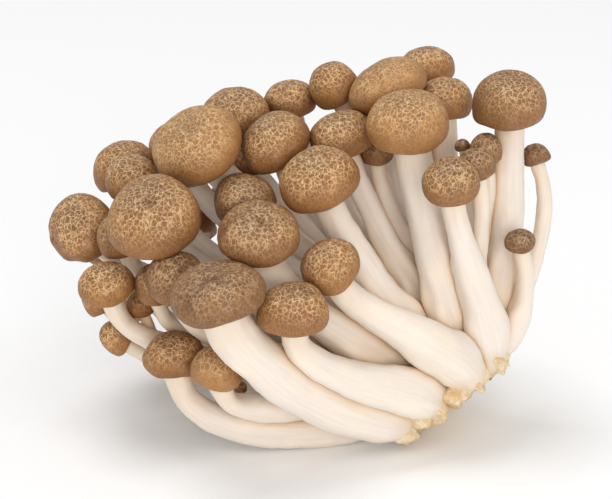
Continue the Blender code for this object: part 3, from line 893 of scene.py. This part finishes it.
def tree_of(grids):
    """One tree of these grids, each closed at its ends, for finding what each lies next to."""
    points, faces, count = [], [], 0
    for grid in grids:
        quads, tris = lathe_faces(*grid.shape[:2])
        points.append(with_ends(grid))
        faces += [tuple(f) for f in (quads + count).tolist()]
        faces += [tuple(f) for f in (tris + count).tolist()]
        count += len(points[-1])
    return BVHTree.FromPolygons(np.vstack(points).tolist(), faces)


def gaps(tree, grid, ways):
    """How far each point of a grid is from the next surface, straight out, up to FAR."""
    out = np.full(grid.shape[:2], FAR)
    for k, i in np.ndindex(out.shape):
        way = Vector(ways[k, i])
        distance = tree.ray_cast(Vector(grid[k, i]) + way * 0.02, way, FAR)[3]
        if distance is not None:
            out[k, i] = distance
    return out


def enclosure(tree, grid, ways):
    """How shut in each second point of a grid is by other surfaces, from 0 to 1."""
    small, outs = grid[::2, ::2], ways[::2, ::2]
    level = (np.arange(SHADE_WAYS) + 0.5) / SHADE_WAYS
    turn = TAU * GOLDEN_TURN * np.arange(SHADE_WAYS)
    flat = np.sqrt(1 - level**2)
    found, total = np.zeros(small.shape[:2]), np.zeros(small.shape[:2])
    for way in np.stack([flat * np.cos(turn), flat * np.sin(turn), level], axis=1):
        facing_out = outs @ way
        weight = np.abs(facing_out) + 0.15
        total += weight
        for k, i in np.ndindex(found.shape):
            aim = Vector(way * (1.0 if facing_out[k, i] > 0 else -1.0))
            start = Vector(small[k, i] + outs[k, i] * 0.5)
            distance = tree.ray_cast(start, aim, SHADE_REACH)[3]
            if distance is not None:
                found[k, i] += weight[k, i] * (1 - 0.7 * distance / SHADE_REACH)
    return blurred(found / total, 1)


def swell(gap, reach):
    """How far a surface moves out to its neighbour: half of a small gap, none of a wide one."""
    return np.where(gap < reach, 0.5 * gap * (1 - smoothstep(0.6, 1.0, gap / reach)) + 0.07, 0.0)


def closeness(gap, push, *falloffs):
    """How close the neighbour is once both have swollen, by falloffs of (weight, distance)."""
    left = np.clip(gap - 2 * push, 0, None)
    return np.clip(sum(weight * np.exp(-left / distance) for weight, distance in falloffs), 0, 1)


def beside_stem(tree, m, grid, at, ways):
    """A stem's swelling, closeness and shade, on its rough grid."""
    gap = gaps(tree, grid, ways)
    reach = 2.6 + 5.4 * (1 - smoothstep(0.05, 0.85, np.clip(at / m.length, 0, 1)))
    push = swell(gap, reach[:, None])
    push[at > NECK_SHARE * m.length] = 0
    push = blurred(push, 3)
    return push, closeness(gap, push, (0.85, 0.55), (0.3, 2.6)), enclosure(tree, grid, ways)


def beside_cap(tree, m, grid):
    """A cap's swelling, closeness and shade, on its rough grid."""
    ways = unit(grid - m.on_axis(CAP_MIDDLE))
    gap = gaps(tree, grid, ways)
    push = swell(gap, 2.0)
    push[CAP_ROWS + 2 :] = 0
    push = blurred(push, 6)
    close = closeness(gap, push, (0.8, 0.5), (0.25, 2.2))
    return push, blurred(close, 1), enclosure(tree, grid, ways)


def above_table(points):
    """Points under the table are brought up to it."""
    points = points.copy()
    points[..., 2] = np.maximum(points[..., 2], TABLE_GAP)
    return points


def finish_piece(piece, node):
    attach(piece, "root")
    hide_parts(node)


def fitting(length, spacing, fewest, most):
    """How many steps of about this spacing make this length, within limits."""
    return int(np.clip(round(length / spacing), fewest, most))


def build_stem(m, push, close, shade):
    size = m.shapes[:, 0].mean()
    sides, rows = fitting(TAU * size, 0.34, 36, 76), fitting(m.length, 0.62, 50, 150)
    points, at, ways, turns = m.stem(sides, rows)
    points = points + ways * blurred(sampled(push, rows, sides), 8)[..., None]
    relief = Ripples(m.rng, 5.0)(points) * 0.05 + Ripples(m.rng, 1.7)(points) * 0.018
    points = above_table(points + ways * relief[..., None])
    # painted shade where the stem lies against its neighbours
    crevice_shade = blurred(sampled(close, rows, sides), 3)
    # painted shade where the stem is shut in by other surfaces
    enclosed_shade = blurred(sampled(shade, rows, sides), 4)
    cream = 0.95 * bell(at + 1.5, 4.6) + 0.12 * m.rng.uniform()
    own_place = 13.0 * m.number
    attributes = {
        "grain": on_grid(size * np.cos(turns) + own_place, size * np.sin(turns), at[:, None]),
        "mood": on_grid((at / m.length)[:, None], cream[:, None], crevice_shade),
        "enclosed_shade": enclosed_shade[..., None],
    }
    piece = closed_piece(f"stem_{m.place}", points, end_points(points), MATERIAL_STEM, attributes)
    finish_piece(piece, m.name)


def build_cap(m, push, close, shade):
    spacing, edge_rows = 0.42, 16
    sides = fitting(TAU * m.radius, spacing, 56, 150)
    top_rows = fitting(1.5 * m.radius, spacing, 20, 46)
    points, skin, edge, shown = m.cap(sides, top_rows, edge_rows)
    hidden = len(points) - shown

    def finer(coarse):
        top, margin = coarse[:CAP_ROWS], coarse[CAP_ROWS:]
        return np.vstack([sampled(top, top_rows, sides), sampled(margin, edge_rows, sides)])

    ways = unit(points - m.on_axis(CAP_MIDDLE))
    points, mark = m.pressed(points, shown)
    points[:shown] += ways[:shown] * blurred(finer(push), 10)[..., None]
    points = above_table(points)
    # painted shade where the cap lies against its neighbours and in its creases
    crevice_shade = np.maximum(np.vstack([finer(close), np.zeros((hidden, sides))]), 0.75 * mark)
    # painted shade where the cap is shut in; the hidden underside gets it in full
    enclosed_shade = np.vstack([blurred(sampled(shade, shown, sides), 4), np.ones((hidden, sides))])
    # each cap's own tone, with painted shade on caps in shadow and painted light on caps in full
    # light
    tone_and_shading = TONE_AND_SHADING.get(m.place, float(m.rng.uniform(-0.12, 0.18)))
    mood = on_grid(edge[:, None], tone_and_shading, crevice_shade)
    attributes = {"skin": skin, "mood": mood, "enclosed_shade": enclosed_shade[..., None]}
    ends = np.stack([points[0].mean(axis=0), m.on_axis(INSIDE[-1, 1])])
    piece = closed_piece(f"cap_{m.place}", points, ends, MATERIAL_CAP, attributes)
    finish_piece(piece, m.name)


def build_gills(m):
    grid = above_table(m.gills())
    quads, tris = lathe_faces(*grid.shape[:2], ring=True)
    piece = mesh_object(f"gills_{m.place}", grid.reshape(-1, 3), quads, tris, MATERIAL_GILLS)
    finish_piece(piece, m.name)


forms = coarse_forms()
tree = tree_of([grid for _, stem, cap in forms for grid in (stem[0], cap)])
for m, stem, cap in forms:
    build_stem(m, *beside_stem(tree, m, *stem))
    build_cap(m, *beside_cap(tree, m, cap))
    build_gills(m)


# ---- the base


LUMP_SPACING = 3.0
OUTER_FOOT = 6.0  # a foot further from the middle than this is an outer one
NEIGHBOURS = 13.0  # two outer feet nearer than this are neighbours


def build_base():
    """The base's core: a low dome with a torn rim, cut flat below."""
    rng = np.random.default_rng(77)
    out = base_points - base_middle
    level = out @ growth
    widest = np.linalg.norm(out - growth * level[:, None], axis=1).max()
    turns = turns_of(180)
    rim = 0.93 * widest
    share = np.array([0.06, 0.15, 0.27, 0.4, 0.52, 0.64, 0.75, 0.84, 0.91, 0.96, 1.0])
    rise = np.linspace(0.02, 1.0, 30)[:-1]
    across = np.concatenate([share * rim, widest * (1 - rise**3.0) ** 0.55])
    above = np.concatenate([0 * share, rise * level.max()])
    first = side_of(growth)
    flat = spokes(first, np.cross(growth, first), turns)
    points = base_middle + flat * across[:, None, None] + growth * above[:, None, None]
    coarse, middle, fine = Ripples(rng, 9.0), Ripples(rng, 3.2), Ripples(rng, 1.3)
    torn = 0.45 * coarse(points) + 0.42 * middle(points) + 0.2 * fine(points)
    fibres = 0.35 * np.cos(31 * turns + 2.2 * np.sin(3 * turns)) + 0.25 * np.cos(53 * turns + 1.0)
    at_edge = bell(across - rim, 1.8) * (above < 3)
    low = 1 - smoothstep(2.5, 8.0, above)
    move = torn * (0.5 + 0.5 * low)[:, None] + fibres * at_edge[:, None]
    points = above_table(points + unit(points - base_body) * move[..., None])
    grain = on_grid(10 * np.cos(turns), 10 * np.sin(turns), (above - across)[:, None])
    ends = end_points(points)
    piece = closed_piece("cut_base_core", points, ends, MATERIAL_BASE, {"grain": grain})
    finish_piece(piece, "cut_base")


def torn_lump(start, way, length, wide, coarse, fine, rng, turns, share):
    """A short lumpy piece of torn tissue, as rows of points."""
    first = side_of(way)
    second = np.cross(way, first)
    jag = 1 + 0.08 * np.cos(3 * turns + rng.uniform(0, TAU))
    jag = jag + 0.03 * np.cos(7 * turns + rng.uniform(0, TAU))
    rounded = np.sqrt(np.clip(1 - (2 * np.abs(share - 0.5)) ** 6, 0.004, 1))
    radius = wide * (1 - 0.22 * share**1.5) * rounded
    flat = spokes(first * 1.1, second * 0.9, turns)
    spine = start + way * (share * length)[:, None, None]
    grid = spine + flat * (radius[:, None] * jag)[..., None]
    ragged = smoothstep(0.45, 1.0, share)[:, None]
    grid = grid + way * (ragged * (0.6 * coarse(grid) + 0.12 * fine(grid)))[..., None]
    rough = 0.4 * coarse(grid * 1.1) + 0.05 * fine(grid) * (0.4 + ragged)
    return above_table(grid + flat * (rough * smoothstep(0, 0.1, share)[:, None])[..., None])


def lumps_of(rng):
    """Where the torn lumps are: one under each foot, and more between neighbouring outer feet."""
    lumps, feet, middles = [], [], []
    for m in mushrooms:
        foot, tangent = m.path[0], m.tangents[0]
        out = foot - base_middle
        out = out - growth * (out @ growth)
        feet.append((foot, out, np.linalg.norm(out)))
        way = unit(-0.8 * tangent - 0.7 * growth + 0.1 * rng.normal(size=3))
        length = rng.uniform(6.2, 7.8)
        lumps.append((foot + tangent * 3.4, way, length, m.shapes[0, 0] * rng.uniform(0.76, 0.88)))
    for (foot, out, reach), (other, other_out, other_reach) in combinations(feet, 2):
        apart = np.linalg.norm(foot - other)
        if min(reach, other_reach) < OUTER_FOOT or apart > NEIGHBOURS:
            continue
        middle = (foot + other) / 2 + unit(-(out + other_out) / 2) * 1.2
        if any(np.linalg.norm(middle - placed) < LUMP_SPACING for placed in middles):
            continue
        middles.append(middle)
        way = unit(-growth + 0.15 * rng.normal(size=3))
        wide = float(np.clip(0.46 * apart, 2.6, 5.2))
        lumps.append((middle + growth * 2.6, way, rng.uniform(5.6, 7.0), wide))
    return lumps


def build_stubs():
    """Torn tissue that the feet grew from, as one piece."""
    rng = np.random.default_rng(505)
    coarse, fine = Ripples(rng, 4.6), Ripples(rng, 1.4)
    turns, share = turns_of(34), np.linspace(0, 1, 17)
    points, grains, quads, tris, count = [], [], [], [], 0
    for number, (start, way, length, wide) in enumerate(lumps_of(rng)):
        small = 1 - 0.18 * smoothstep(13.0, 21.0, start[2])
        length, wide = length * small, wide * small
        if (start + way * length)[2] < 1.0:
            way = unit(way * (1, 1, 0.25))
        grid = torn_lump(start, way, length, wide, coarse, fine, rng, turns, share)
        grain = on_grid(
            wide * np.cos(turns) + 7.0 * number, wide * np.sin(turns), (share * length)[:, None]
        )
        lump_quads, lump_tris = lathe_faces(*grid.shape[:2])
        points.append(with_ends(grid))
        grains.append(with_ends(grain))
        quads.append(lump_quads + count)
        tris.append(lump_tris + count)
        count += len(points[-1])
    points, grains, quads, tris = (np.vstack(rows) for rows in (points, grains, quads, tris))
    piece = mesh_object("cut_base_stubs", points, quads, tris, MATERIAL_BASE, {"grain": grains})
    finish_piece(piece, "cut_base")


build_base()
build_stubs()

# ---- table, light and camera


centre = np.mean(cad_box, axis=0)
TABLE_HALF = 2.5
# Each light's place and its size in metres, its power and its tint. All of them face the bunch.
LIGHTS = {
    "top": ((-0.45, 0.15, 2.2), 1.2, 18.0, (1.0, 0.998, 0.992)),
    "front": ((0.25, -1.75, 0.45), 1.0, 13.5, (1.0, 0.994, 0.985)),
    "key": ((0.55, -0.9, 1.3), 0.9, 3.0, (1.0, 0.99, 0.97)),
}
WORLD_TINT, WORLD_STRENGTH = (0.985, 0.99, 1.0, 1), 0.53
AIM_OFF_CENTRE, CAMERA_AWAY, LENS = (0.0014, -0.00171, 0.0001), 0.574, 135


def link(made, place, faces):
    """Puts a light or camera in the scene, facing this way."""
    made.location = place
    made.rotation_euler = Vector(faces).to_track_quat("-Z", "Y").to_euler()
    bpy.context.scene.collection.objects.link(made)


def build_stage():
    half = TABLE_HALF
    corners = [(-half, -half, 0), (half, -half, 0), (half, half, 0), (-half, half, 0)]
    mesh = bpy.data.meshes.new("table_top")
    mesh.from_pydata(corners, [], [(0, 1, 2, 3)])
    mesh.materials.append(floor_material())
    table = bpy.data.objects.new("table_top", mesh)
    bpy.context.scene.collection.objects.link(table)


def build_light():
    world = bpy.data.worlds.new("studio")
    bpy.context.scene.world = world
    world.use_nodes = True
    background = world.node_tree.nodes["Background"]
    background.inputs["Color"].default_value = WORLD_TINT
    background.inputs["Strength"].default_value = WORLD_STRENGTH
    for name, (place, size, power, tint) in LIGHTS.items():
        light = bpy.data.lights.new(name, "AREA")
        light.shape = "DISK"
        light.size = size
        light.energy = power
        light.color = tint
        link(bpy.data.objects.new(name, light), place, Vector(centre) - Vector(place))


def build_camera():
    camera = bpy.data.cameras.new("camera")
    camera.lens = LENS
    camera.sensor_width = 36
    camera.clip_start = 0.01
    made = bpy.data.objects.new("camera", camera)
    away = Vector(PICTURE_NEAR) * CAMERA_AWAY
    link(made, Vector(centre + AIM_OFF_CENTRE) + away, -away)
    bpy.context.scene.camera = made


build_stage()
build_light()
build_camera()
bpy.context.scene.view_settings.view_transform = "Standard"
